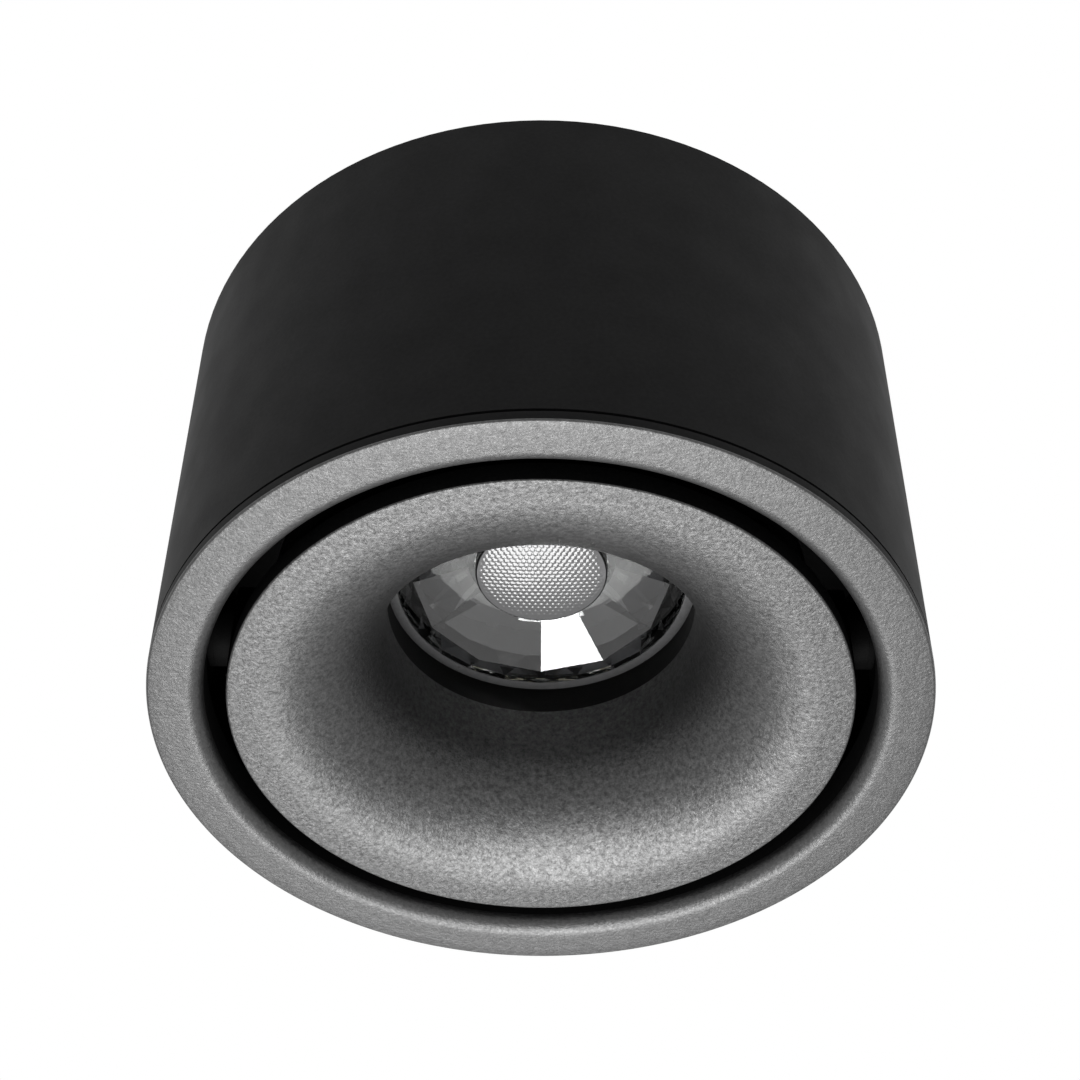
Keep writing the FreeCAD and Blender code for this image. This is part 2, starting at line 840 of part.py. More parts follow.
def sink_screws():
    screw = screw_down(sink_screw_head_r, sink_screw_head_t, sink_screw_r, sink_flange_t
                       + sink_screw_len - sink_screw_r, sink_flange_top, sink_screw_circle_r, 0)
    return group(around(screw, SINK_SCREW_ANGLES))


def lead_bush():
    return ring(bush_r, bush_bore_r, sink_base_low, sink_top, 0, bush_x)


PIECES = (
    housing_shell, trim_ring, ceiling_plate, side_screws, cable_grommet, terminal_block,
    terminal_screws, input_wires, earth_wire, earth_tag, earth_screw, driver_case, case_screws,
    insulation_sheet, driver_board, fuse_resistor, film_capacitor, bridge_rectifier,
    bulk_capacitor, transformer_core, transformer_coil, controller_chip, output_capacitor,
    output_choke, output_socket, slip_ring, keeper_ring, swivel_ring, pivot_washers,
    pivot_screws, baffle, lens_retainer, lens, led_board, led_emitter, thermal_pad, led_holder,
    holder_screws, heat_sink, sink_screws, lead_bush,
)

os.makedirs("parts", exist_ok=True)
for piece in PIECES:
    save(piece.__name__, piece())
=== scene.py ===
import bmesh
import bpy
import json
import math
from mathutils import Matrix, Vector


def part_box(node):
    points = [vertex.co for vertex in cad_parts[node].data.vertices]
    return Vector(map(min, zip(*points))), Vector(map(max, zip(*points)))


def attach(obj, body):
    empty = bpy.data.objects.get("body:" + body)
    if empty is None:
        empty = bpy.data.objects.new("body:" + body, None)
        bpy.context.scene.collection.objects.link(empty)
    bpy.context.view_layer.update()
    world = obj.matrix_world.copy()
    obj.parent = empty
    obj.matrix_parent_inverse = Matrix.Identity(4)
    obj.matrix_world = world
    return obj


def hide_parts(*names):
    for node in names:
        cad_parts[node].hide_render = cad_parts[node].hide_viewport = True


# Surface mounted ceiling spotlight: finishes, finer meshes, light and camera.
# Metres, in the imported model's own frame.  The ceiling face is z = 0, and the lamp shines along -Z.
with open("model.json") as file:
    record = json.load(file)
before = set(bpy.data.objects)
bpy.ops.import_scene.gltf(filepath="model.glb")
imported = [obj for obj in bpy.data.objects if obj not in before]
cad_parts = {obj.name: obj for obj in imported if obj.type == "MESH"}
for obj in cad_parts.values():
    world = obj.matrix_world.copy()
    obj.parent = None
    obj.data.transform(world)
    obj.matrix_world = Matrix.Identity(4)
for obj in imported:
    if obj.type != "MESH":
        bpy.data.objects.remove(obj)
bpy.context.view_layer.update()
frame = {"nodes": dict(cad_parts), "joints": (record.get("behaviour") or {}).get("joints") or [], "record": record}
NODES = frame["nodes"]

MM = 0.001
TINY = 1e-7

# ---------------------------------------------------------------- camera, as in the photograph
CAMERA_PLACE = Vector((0.0, -0.2175, -0.2588))
CAMERA_RISE = 46.75
CAMERA_YAW = 0.04
CAMERA_ROLL = 0.29
LENS_MM = 76.716
SENSOR_MM = 36.0
CLIP_START = 0.01

# ---------------------------------------------------------------- light and floor
WHITE = (1, 1, 1, 1)
FLOOR_Z = -0.55
FLOOR_HALF = 40.0
FLOOR_MIDDLE = (0.82, 0.82, 0.82)
FLOOR_DARK = (0.81, 0.81, 0.81)
FLOOR_PALE = (0.84, 0.84, 0.84)
FLOOR_MOTTLE = 40.0
FLOOR_ROUGHNESS = 0.8
FLOOR_GLOSS = 0.2
FLOOR_GLOW = 0.3
LAMP_PLACE = Vector((-0.027, 0.18, -0.52))
LAMP_SIZE = (0.19, 0.56)
LAMP_WATTS = 3.0
WORLD_DIFFUSE = 0.25

# ---------------------------------------------------------------- sizes read from the frame
TRIM_LOW, TRIM_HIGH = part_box("trim_ring")
BAFFLE_LOW, BAFFLE_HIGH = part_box("baffle")
LENS_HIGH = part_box("lens")[1]
RETAINER_LOW, RETAINER_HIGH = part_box("lens_retainer")
SINK_LOW, SINK_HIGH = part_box("heat_sink")
PIVOT_Z = frame["joints"][1]["pos_m"][2]

HOUSING_R = TRIM_HIGH.x
FACE_Z = TRIM_LOW.z

# ---------------------------------------------------------------- round meshes
# The ends of a profile's arcs, in degrees.
INWARD = 180
DOWN = 270
OUTWARD = 360
RING_STEPS = 360
FLANGE_STEPS = 180
ROD_STEPS = 48
ROLL_STEPS = 60
TRIM_ROUND_STEPS = 10
TRIM_EDGE_STEPS = 6
RIM_STEPS = 8
BEVEL_STEPS = 4
SHARP_ANGLE = 30.0

# ---------------------------------------------------------------- trim ring profile
TRIM_W = 7.0 * MM
TRIM_FLANGE_T = 2.0 * MM
TRIM_ROUND = 2.2 * MM
TRIM_OUTER_ROUND = 0.35 * MM
SEAM_BEVEL = 0.45 * MM
SPIGOT_R = 48.1 * MM
FACE_INSET_IN = 1.0 * MM
FACE_INSET_OUT = 2.0 * MM
WALL_PLAY = 0.02 * MM

# ---------------------------------------------------------------- baffle profile
BAFFLE_R = BAFFLE_HIGH.y
BAFFLE_RECESS = BAFFLE_LOW.z - FACE_Z
BAFFLE_WALL = 2.0 * MM
BAFFLE_LAND = 3.5 * MM
BAFFLE_ROUND = 0.3 * MM
BAFFLE_RIM_H = 3.0 * MM
BAFFLE_RIM_W = 1.6 * MM
RIM_INSET = 0.6 * MM
THROAT_R = 20.6 * MM
THROAT_INSET = 1.0 * MM
BACK_BEVEL = 45.0
SKIN_PLAY = 0.1 * MM
BAFFLE_FACE_Z = FACE_Z + BAFFLE_RECESS
ROLL_R = BAFFLE_R - BAFFLE_LAND - THROAT_R
ROLL_CENTRE_R = THROAT_R + ROLL_R
ROLL_Z = BAFFLE_FACE_Z + ROLL_R

# ---------------------------------------------------------------- lugs and bosses of the baffle
LUG_T = 2.5 * MM
LUG_IN_X = BAFFLE_R - BAFFLE_ROUND - LUG_T
LUG_W = 12.0 * MM
LUG_BOSS_R = 4.5 * MM
TOUCH_GAP = 0.02 * MM
BOSS_R = 3.5 * MM
BOSS_SINK = 1.0 * MM
CUP_OUT_R = THROAT_R + 4.1 * MM
BOSS_CIRCLE_R = (CUP_OUT_R + SINK_HIGH.x) / 2
BOSS_ANGLES = (90, 210, 330)

# ---------------------------------------------------------------- lens profile
LENS_R = LENS_HIGH.x
LENS_FACE_Z = RETAINER_HIGH.z
FLANGE_IN_R = 19.65 * MM
FLANGE_T = 1.8 * MM
LENS_BACK_Z = LENS_FACE_Z + FLANGE_T
CONE_R = 17.35 * MM
CONE_SLOPE = 22.0
FACETS = 24
SECTORS = 12
LOW_ROW_R = 17.6 * MM
LOW_ROW_SHARE = 0.3
HIGH_ROW_R = 13.4 * MM
HIGH_ROW_SHARE = 0.64
POCKET_R = 6.3 * MM
TIP_WALL = 0.9 * MM
FACET_SHARP_ANGLE = 1.0

# ---------------------------------------------------------------- bead of lenslets in the lens
BEAD_R = 9.0 * MM
BEAD_RISE = 1.7 * MM
BEAD_BEVEL = 0.25 * MM
BEAD_SKIRT = 0.4 * MM
BEAD_DOME = 0.5 * MM
BEAD_STEPS = 480
BEAD_SHARP_ANGLE = 60.0
CELL_PITCH = 0.8 * MM
CELL_RISE = 0.055 * MM
ROWS_PER_CELL = 6
CONE_TOP_Z = LENS_FACE_Z + (CONE_R - BEAD_R) * math.tan(math.radians(CONE_SLOPE))

# ---------------------------------------------------------------- finishes
# Scales count the noise's grains per metre, and details its finer layers.  Most of its values lie
# between the two of a span.
NOISE_SPAN = (0.3, 0.7)
NOISE_DETAIL = 3.0
NOISE_ROUGH = 0.5
PATCH_SHARE = 12
PATCH_DETAIL = 2.0
GRAIN_SPREAD = 0.12
ROUGH_SPREAD = 0.08
PLAIN_GLOSS = 0.5

# Sand textured coat of the trim ring and the baffle.  A tone is a grain's value and its shade.
SAND_COLOUR = (0.016, 0.016, 0.0162)
SAND_TONES = ((0.35, 0.6), (0.5, 1.0), (0.65, 1.6))
SAND_ROUGHNESS = 0.4
SAND_GLOSS = 0.9
SAND_IOR = 1.65
SAND_GRAIN_SCALE = 2300.0
SAND_GRAIN_DETAIL = 4.0
SAND_GRAIN_ROUGH = 0.65
SAND_GRAIN_DEPTH = 0.07 * MM
SAND_FLECK_SCALE = 3200.0
SAND_FLECK_SPAN = (0.0, 0.6)
SAND_FLECK_ROUGHNESS = (0.31, 0.45)
SAND_CLUMP_SCALE = 1500.0
SAND_CLUMP_DETAIL = 5.0
SAND_CLUMP_ROUGH = 0.75
SAND_CLUMP_SPAN = (0.35, 0.65)
BAFFLE_CLUMPS = 0.45
TRIM_CLUMPS = 0.2

# Clear moulding of the lens.
CLEAR_COLOUR = (0.97, 0.98, 0.98)
CLEAR_ROUGHNESS = 0.02
CLEAR_IOR = 1.65
CLEAR_COAT_IOR = 1.7
CLEAR_WAVE_SCALE = 260.0
CLEAR_WAVE_DETAIL = 1.0
CLEAR_WAVE_DEPTH = 0.004 * MM
CLEAR_WAVE_STRENGTH = 0.4

# Zinc plated sheet, whose rolling lines run along X.
SHEET_COLOUR = (0.5, 0.51, 0.52)
SHEET_TONES = (0.9, 1.08)
SHEET_ROUGHNESS = 0.36
SHEET_LINE_SCALES = (60.0, 2600.0, 2600.0)
SHEET_LINE_DETAIL = 4.0
SHEET_LINE_DEPTH = 0.003 * MM
SHEET_PATCH_SCALE = 90.0
SHEET_PATCH_ROUGHNESS = (0.32, 0.42)

# name: colour, roughness, grain per metre, depth of the grain, and what grained() has otherwise
FINISHES = {
    "shell_coat": ((0.0115, 0.0115, 0.0118), 0.6, 1800.0, 0.01 * MM,
                   {"specular": 0.075, "spread": 0.2, "rough_spread": 0.03}),
    "black_steel": ((0.006, 0.006, 0.006), 0.5, 1500.0, 0.01 * MM, {"specular": 0.03}),
    "black_screw": ((0.006, 0.006, 0.006), 0.45, 1500.0, 0.01 * MM, {"specular": 0.05}),
    "black_plastic": ((0.006, 0.006, 0.006), 0.4, 900.0, 0.01 * MM, {"specular": 0.1}),
    "black_nylon": ((0.006, 0.006, 0.006), 0.5, 900.0, 0.01 * MM, {"specular": 0.03}),
    "black_aluminium": ((0.03, 0.03, 0.032), 0.42, 1600.0, 0.03 * MM, {"metallic": 0.6}),
    "rubber": ((0.02, 0.02, 0.02), 0.7, 1200.0, 0.02 * MM, {"specular": 0.3}),
    "white_plastic": ((0.72, 0.72, 0.69), 0.45, 900.0, 0.01 * MM, {"spread": 0.04}),
    # painted shade: the white plastic of the LED holder made dark grey
    "holder_plastic_painted_shade": ((0.13, 0.13, 0.128), 0.45, 900.0, 0.01 * MM, {"spread": 0.04}),
    "yellow_plastic": ((0.75, 0.55, 0.05), 0.3, 900.0, 0.01 * MM, {}),
    "brass": ((0.72, 0.55, 0.27), 0.3, 900.0, 0.01 * MM, {"metallic": 1.0}),
    "wire_sleeve": ((0.12, 0.16, 0.4), 0.4, 900.0, 0.01 * MM, {}),
    "earth_sleeve": ((0.2, 0.5, 0.12), 0.4, 900.0, 0.01 * MM, {}),
    "can_sleeve": ((0.05, 0.06, 0.12), 0.3, 700.0, 0.01 * MM, {}),
    "clear_sheet": ((0.8, 0.82, 0.8), 0.3, 500.0, 0.01 * MM, {"spread": 0.03}),
    "circuit_board": ((0.05, 0.2, 0.08), 0.35, 1200.0, 0.01 * MM, {}),
    "ceramic_green": ((0.2, 0.42, 0.3), 0.5, 1500.0, 0.02 * MM, {}),
    "ceramic_white": ((0.85, 0.85, 0.83), 0.35, 1500.0, 0.01 * MM, {"spread": 0.03}),
    "ferrite": ((0.06, 0.06, 0.065), 0.6, 2200.0, 0.02 * MM, {}),
    "coil_tape": ((0.8, 0.62, 0.1), 0.3, 900.0, 0.02 * MM, {}),
    "phosphor": ((0.78, 0.74, 0.58), 0.35, 2600.0, 0.02 * MM, {}),
    "thermal_grey": ((0.45, 0.45, 0.47), 0.7, 1800.0, 0.02 * MM, {}),
    "bead_glass": ((0.16, 0.16, 0.162), 0.1, 900.0, 0.001 * MM,
                   {"specular": 1.0, "spread": 0.05, "rough_spread": 0.02}),
    "flange_glass": ((0.13, 0.13, 0.132), 0.35, 1400.0, 0.02 * MM, {}),
}

# A slot has the finish of its own name, apart from these.
SLOT_FINISH = {"shell_black": "shell_coat", "textured_black": "sand_coat",
               "clear_lens": "lens_clear"}

# Seen through the lens, the holder looks mid grey and its screws don't show.  The holder's white plastic is
# painted dark grey: painted shade, for the light that the lens holds back.
NODE_FINISH = {"led_holder": "holder_plastic_painted_shade", "holder_screws": "black_screw"}


# ---------------------------------------------------------------- mesh helpers
def place(name, mesh, body, material, replaced=()):
    piece = bpy.data.objects.new(name, mesh)
    bpy.context.scene.collection.objects.link(piece)
    mesh.materials.append(material)
    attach(piece, body)
    if replaced:
        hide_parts(*replaced)
    return piece


def finished(name, bm, sharp_angle=SHARP_ANGLE):
    bmesh.ops.recalc_face_normals(bm, faces=bm.faces[:])
    mesh = bpy.data.meshes.new(name)
    bm.to_mesh(mesh)
    bm.free()
    mesh.shade_smooth()
    mesh.set_sharp_from_angle(angle=math.radians(sharp_angle))
    return mesh


# Gives the second material to the faces whose middle passes the test.
def coat_sides(bm, hidden):
    for face in bm.faces:
        face.material_index = 1 if hidden(face.calc_center_median()) else 0


# The spots of an arc in a profile, as pairs of radius and height.
def rounded(centre_r, centre_z, radius, start, end, steps):
    spots = []
    for step in range(steps + 1):
        angle = math.radians(start + (end - start) * step / steps)
        spots.append((centre_r + radius * math.cos(angle), centre_z + radius * math.sin(angle)))
    return spots


# Turns a profile about the lamp's axis.  A spot on the axis becomes one corner.
def revolve(bm, profile, count, closed=True):
    rings = []
    for radius, height in profile:
        if radius < TINY:
            rings.append([bm.verts.new((0.0, 0.0, height))])
            continue
        ring = []
        for step in range(count):
            angle = 2 * math.pi * step / count
            ring.append(bm.verts.new((radius * math.sin(angle), radius * math.cos(angle), height)))
        rings.append(ring)
    pairs = list(zip(rings, rings[1:]))
    if closed:
        pairs.append((rings[-1], rings[0]))
    for inner, outer in pairs:
        for step in range(count):
            after = (step + 1) % count
            corners = [inner[step % len(inner)], inner[after % len(inner)],
                       outer[after % len(outer)], outer[step % len(outer)]]
            unique = list(dict.fromkeys(corners))
            if len(unique) > 2:
                bm.faces.new(unique)


# A closed wall between two rings of corners, with both ends shut.
def drum(bm, first, last):
    for step in range(len(first)):
        after = (step + 1) % len(first)
        bm.faces.new((first[step], first[after], last[after], last[step]))
    bm.faces.new(first[::-1])
    bm.faces.new(last)


# A rod along X at the height of the tilt axis.
def pivot_rod(bm, start_x, end_x, radius):
    rings = []
    for x in (start_x, end_x):
        ring = []
        for step in range(ROD_STEPS):
            angle = 2 * math.pi * step / ROD_STEPS
            ring.append(bm.verts.new((x, radius * math.cos(angle),
                                      PIVOT_Z + radius * math.sin(angle))))
        rings.append(ring)
    drum(bm, *rings)


def block(bm, low, high):
    for vert in bmesh.ops.create_cube(bm, size=1.0)["verts"]:
        vert.co = Vector([low[i] if vert.co[i] < 0 else high[i] for i in range(3)])


# ---------------------------------------------------------------- material helpers
def new_material(name, colour, roughness, metallic=0.0, specular=PLAIN_GLOSS):
    material = bpy.data.materials.new(name)
    material.use_nodes = True
    tree = material.node_tree
    shader = tree.nodes["Principled BSDF"]
    shader.inputs["Base Color"].default_value = (*colour, 1.0)
    shader.inputs["Roughness"].default_value = roughness
    shader.inputs["Metallic"].default_value = metallic
    shader.inputs["Specular IOR Level"].default_value = specular
    return material, tree, shader


def noise(tree, scale, detail=NOISE_DETAIL, rough=NOISE_ROUGH):
    where = tree.nodes.new("ShaderNodeTexCoord")
    node = tree.nodes.new("ShaderNodeTexNoise")
    node.inputs["Scale"].default_value = scale
    node.inputs["Detail"].default_value = detail
    node.inputs["Roughness"].default_value = rough
    tree.links.new(where.outputs["Object"], node.inputs["Vector"])
    return node.outputs["Fac"]


# Noise with its own scale along each axis.
def stretched_noise(tree, scales, detail):
    where = tree.nodes.new("ShaderNodeTexCoord")
    stretch = tree.nodes.new("ShaderNodeMapping")
    stretch.inputs["Scale"].default_value = scales
    tree.links.new(where.outputs["Object"], stretch.inputs["Vector"])
    node = tree.nodes.new("ShaderNodeTexNoise")
    node.inputs["Scale"].default_value = 1.0
    node.inputs["Detail"].default_value = detail
    tree.links.new(stretch.outputs["Vector"], node.inputs["Vector"])
    return node.outputs["Fac"]


def cells(tree, scale):
    where = tree.nodes.new("ShaderNodeTexCoord")
    node = tree.nodes.new("ShaderNodeTexVoronoi")
    node.inputs["Scale"].default_value = scale
    tree.links.new(where.outputs["Object"], node.inputs["Vector"])
    return node.outputs["Distance"]


def ramp(tree, value, span, result):
    node = tree.nodes.new("ShaderNodeMapRange")
    node.inputs["From Min"].default_value, node.inputs["From Max"].default_value = span
    node.inputs["To Min"].default_value, node.inputs["To Max"].default_value = result
    tree.links.new(value, node.inputs["Value"])
    return node.outputs["Result"]


def colours(tree, value, shader, spots):
    node = tree.nodes.new("ShaderNodeValToRGB")
    elements = node.color_ramp.elements
    elements[0].position, first = spots[0]
    elements[0].color = (*first, 1.0)
    elements[1].position, last = spots[-1]
    elements[1].color = (*last, 1.0)
    for position, colour in spots[1:-1]:
        element = elements.new(position)
        element.color = (*colour, 1.0)
    tree.links.new(value, node.inputs["Fac"])
    tree.links.new(node.outputs["Color"], shader.inputs["Base Color"])


def two_tones(tree, value, shader, dark, pale):
    low, high = NOISE_SPAN
    colours(tree, value, shader, [(low, dark), (high, pale)])


def bump(tree, value, shader, distance, strength=1.0):
    node = tree.nodes.new("ShaderNodeBump")
    node.inputs["Strength"].default_value = strength
    node.inputs["Distance"].default_value = distance
    tree.links.new(value, node.inputs["Height"])
    tree.links.new(node.outputs["Normal"], shader.inputs["Normal"])


def shade(colour, factor):
    return tuple(channel * factor for channel in colour)


# 1 for the rays that see the background: from the camera, off metal and through glass.
def background_rays(tree):
    path = tree.nodes.new("ShaderNodeLightPath")
    total = path.outputs["Is Camera Ray"]
    for kind in ("Is Glossy Ray", "Is Transmission Ray"):
        node = tree.nodes.new("ShaderNodeMath")
        node.operation = "ADD"
        node.use_clamp = True
        tree.links.new(total, node.inputs[0])
        tree.links.new(path.outputs[kind], node.inputs[1])
        total = node.outputs[0]
    return total


# ---------------------------------------------------------------- materials
# A plain finish: the grain changes colour and height, and broad patches change the gloss.
def grained(name, colour, roughness, scale, depth, metallic=0.0, specular=PLAIN_GLOSS,
            spread=GRAIN_SPREAD, rough_spread=ROUGH_SPREAD):
    material, tree, shader = new_material(name, colour, roughness, metallic, specular)
    grain = noise(tree, scale)
    two_tones(tree, grain, shader, shade(colour, 1 - spread), shade(colour, 1 + spread))
    patches = ramp(tree, noise(tree, scale / PATCH_SHARE, PATCH_DETAIL), NOISE_SPAN,
                   (roughness - rough_spread, roughness + rough_spread))
    tree.links.new(patches, shader.inputs["Roughness"])
    bump(tree, grain, shader, depth)
    return material


# Sand texture: a bumped grain, flecks that differ in roughness, and clumps that differ in gloss.
def sand_coat(name, clumps):
    material, tree, shader = new_material(name, SAND_COLOUR, SAND_ROUGHNESS, specular=SAND_GLOSS)
    shader.inputs["IOR"].default_value = SAND_IOR
    grain = noise(tree, SAND_GRAIN_SCALE, SAND_GRAIN_DETAIL, SAND_GRAIN_ROUGH)
    colours(tree, grain, shader,
            [(value, shade(SAND_COLOUR, factor)) for value, factor in SAND_TONES])
    flecks = ramp(tree, cells(tree, SAND_FLECK_SCALE), SAND_FLECK_SPAN, SAND_FLECK_ROUGHNESS)
    tree.links.new(flecks, shader.inputs["Roughness"])
    gloss = ramp(tree, noise(tree, SAND_CLUMP_SCALE, SAND_CLUMP_DETAIL, SAND_CLUMP_ROUGH),
                 SAND_CLUMP_SPAN, (SAND_GLOSS - clumps, SAND_GLOSS + clumps))
    tree.links.new(gloss, shader.inputs["Specular IOR Level"])
    bump(tree, grain, shader, SAND_GRAIN_DEPTH)
    return material


# Clear moulding with faint waves in its polish.  The coat makes its surface mirror a little more.
def clear_moulding():
    material, tree, shader = new_material("lens_clear", CLEAR_COLOUR, CLEAR_ROUGHNESS)
    shader.inputs["Transmission Weight"].default_value = 1.0
    shader.inputs["IOR"].default_value = CLEAR_IOR
    shader.inputs["Coat Weight"].default_value = 1.0
    shader.inputs["Coat Roughness"].default_value = CLEAR_ROUGHNESS
    shader.inputs["Coat IOR"].default_value = CLEAR_COAT_IOR
    waves = noise(tree, CLEAR_WAVE_SCALE, CLEAR_WAVE_DETAIL)
    bump(tree, waves, shader, CLEAR_WAVE_DEPTH, CLEAR_WAVE_STRENGTH)
    return material


# Zinc plated sheet: fine rolling lines, and patches that differ in gloss.
def rolled_sheet():
    material, tree, shader = new_material("zinc_steel", SHEET_COLOUR, SHEET_ROUGHNESS, 1.0)
    lines = stretched_noise(tree, SHEET_LINE_SCALES, SHEET_LINE_DETAIL)
    two_tones(tree, lines, shader, *[shade(SHEET_COLOUR, factor) for factor in SHEET_TONES])
    patches = ramp(tree, noise(tree, SHEET_PATCH_SCALE, PATCH_DETAIL), NOISE_SPAN,
                   SHEET_PATCH_ROUGHNESS)
    tree.links.new(patches, shader.inputs["Roughness"])
    bump(tree, lines, shader, SHEET_LINE_DEPTH)
    return material


def all_finishes():
    made = {}
    for name, (colour, roughness, scale, depth, others) in FINISHES.items():
        made[name] = grained(name, colour, roughness, scale, depth, **others)
    made["sand_coat"] = sand_coat("sand_coat", BAFFLE_CLUMPS)
    made["ring_sand_coat"] = sand_coat("ring_sand_coat", TRIM_CLUMPS)
    made["lens_clear"] = clear_moulding()
    made["zinc_steel"] = rolled_sheet()
    return made


# ---------------------------------------------------------------- trim ring
def trim_ring(material, side_material):
    inner_r = HOUSING_R - TRIM_W
    seam_z = FACE_Z + TRIM_FLANGE_T
    profile = rounded(inner_r + TRIM_ROUND, FACE_Z + TRIM_ROUND, TRIM_ROUND, INWARD, DOWN,
                      TRIM_ROUND_STEPS)
    profile += [(inner_r + TRIM_ROUND + FACE_INSET_IN, FACE_Z),
                (HOUSING_R - FACE_INSET_OUT, FACE_Z)]
    profile += rounded(HOUSING_R - TRIM_OUTER_ROUND, FACE_Z + TRIM_OUTER_ROUND, TRIM_OUTER_ROUND,
                       DOWN, OUTWARD, TRIM_EDGE_STEPS)
    profile += [(HOUSING_R, seam_z - SEAM_BEVEL), (HOUSING_R - SEAM_BEVEL, seam_z),
                (SPIGOT_R, seam_z), (SPIGOT_R, TRIM_HIGH.z), (inner_r, TRIM_HIGH.z)]

    def beside_face(centre):
        return centre.z > FACE_Z + TRIM_ROUND or centre.xy.length > HOUSING_R - WALL_PLAY

    bm = bmesh.new()
    revolve(bm, profile, RING_STEPS)
    coat_sides(bm, beside_face)
    piece = place("trim_ring_finished", finished("trim_ring_finished", bm), "housing",
                  material, ["trim_ring"])
    piece.data.materials.append(side_material)


# ---------------------------------------------------------------- baffle
def baffle(material, side_material):
    back = BAFFLE_FACE_Z + BAFFLE_WALL
    throat_end = RETAINER_LOW.z
    back_bend = (ROLL_R - BAFFLE_WALL) * math.tan(math.radians(BACK_BEVEL / 2))
    profile = [(THROAT_R, throat_end), (THROAT_R, ROLL_Z + THROAT_INSET)]
    profile += rounded(ROLL_CENTRE_R, ROLL_Z, ROLL_R, INWARD, DOWN, ROLL_STEPS)
    profile += [(BAFFLE_R - BAFFLE_ROUND - RIM_INSET, BAFFLE_FACE_Z)]
    profile += rounded(BAFFLE_R - BAFFLE_ROUND, BAFFLE_FACE_Z + BAFFLE_ROUND, BAFFLE_ROUND,
                       DOWN, OUTWARD, RIM_STEPS)
    profile += [(BAFFLE_R, BAFFLE_FACE_Z + BAFFLE_RIM_H),
                (BAFFLE_R - BAFFLE_RIM_W, BAFFLE_FACE_Z + BAFFLE_RIM_H),
                (BAFFLE_R - BAFFLE_RIM_W, back), (ROLL_CENTRE_R - back_bend, back),
                (THROAT_R + BAFFLE_WALL, ROLL_Z - back_bend),
                (THROAT_R + BAFFLE_WALL, throat_end)]
    bm = bmesh.new()
    revolve(bm, profile, RING_STEPS)
    coat_sides(bm, behind_baffle_face)
    piece = place("baffle_finished", finished("baffle_finished", bm), "lamp_head",
                  material, ["baffle"])
    piece.data.materials.append(side_material)


# True on the baffle's outer edge and on its back.
def behind_baffle_face(centre):
    radius = centre.xy.length
    if radius > BAFFLE_R - WALL_PLAY:
        return True
    if radius > ROLL_CENTRE_R:
        return centre.z > BAFFLE_FACE_Z + BAFFLE_ROUND
    height = centre.z - ROLL_Z
    if height > 0:
        return radius > THROAT_R + SKIN_PLAY
    return math.hypot(radius - ROLL_CENTRE_R, height) < ROLL_R - SKIN_PLAY


# The two lugs of the baffle that the pivot screws go into.  They are black steel, darker than the baffle's coat:
# painted shade where they show in the gap.
def pivot_lugs(material):
    bm = bmesh.new()
    foot = BAFFLE_FACE_Z + BAFFLE_WALL / 2
    for side in (-1, 1):
        inner = side * LUG_IN_X
        outer = side * (LUG_IN_X + LUG_T)
        block(bm, (min(inner, outer), -LUG_W / 2, foot), (max(inner, outer), LUG_W / 2, PIVOT_Z))
        pivot_rod(bm, inner, outer, LUG_W / 2)
        pivot_rod(bm, outer, side * (BAFFLE_HIGH.x - TOUCH_GAP), LUG_BOSS_R)
    place("pivot_lugs", finished("pivot_lugs", bm), "lamp_head", material)


# The bosses of the three heat sink screws stand on the back of the roll.
def screw_bosses(material):
    bm = bmesh.new()
    for boss_angle in BOSS_ANGLES:
        turn = math.radians(boss_angle)
        middle = BOSS_CIRCLE_R * Vector((math.cos(turn), math.sin(turn), 0.0))
        foot = []
        top = []
        for step in range(ROD_STEPS):
            angle = 2 * math.pi * step / ROD_STEPS
            spot = middle + BOSS_R * Vector((math.cos(angle), math.sin(angle), 0.0))
            drop = math.sqrt((ROLL_R - BOSS_SINK) ** 2 - (ROLL_CENTRE_R - spot.length) ** 2)
            foot.append(bm.verts.new((spot.x, spot.y, ROLL_Z - drop)))
            top.append(bm.verts.new((spot.x, spot.y, SINK_LOW.z - TOUCH_GAP)))
        drum(bm, foot, top)
    place("screw_bosses", finished("screw_bosses", bm), "lamp_head", material)


# ---------------------------------------------------------------- lens
def lens_flange(material):
    profile = [(FLANGE_IN_R, LENS_FACE_Z), (LENS_R, LENS_FACE_Z), (LENS_R, LENS_BACK_Z),
               (FLANGE_IN_R, LENS_BACK_Z)]
    bm = bmesh.new()
    revolve(bm, profile, FLANGE_STEPS)
    place("lens_flange", finished("lens_flange", bm), "lamp_head", material,
          ["lens"])


# One ring of the moulded lens.  A flat ring has its odd corners on the chord between their
# neighbours, and a turned ring stands half a facet round.
def lens_ring(bm, radius, height, flat=False, turned=False):
    ring = []
    for step in range(FACETS):
        angle = 2 * math.pi * (step + (0.5 if turned else 0.0)) / FACETS
        reach = radius * math.cos(math.pi / SECTORS) if flat and step % 2 else radius
        ring.append(bm.verts.new((reach * math.sin(angle), reach * math.cos(angle), height)))
    return ring


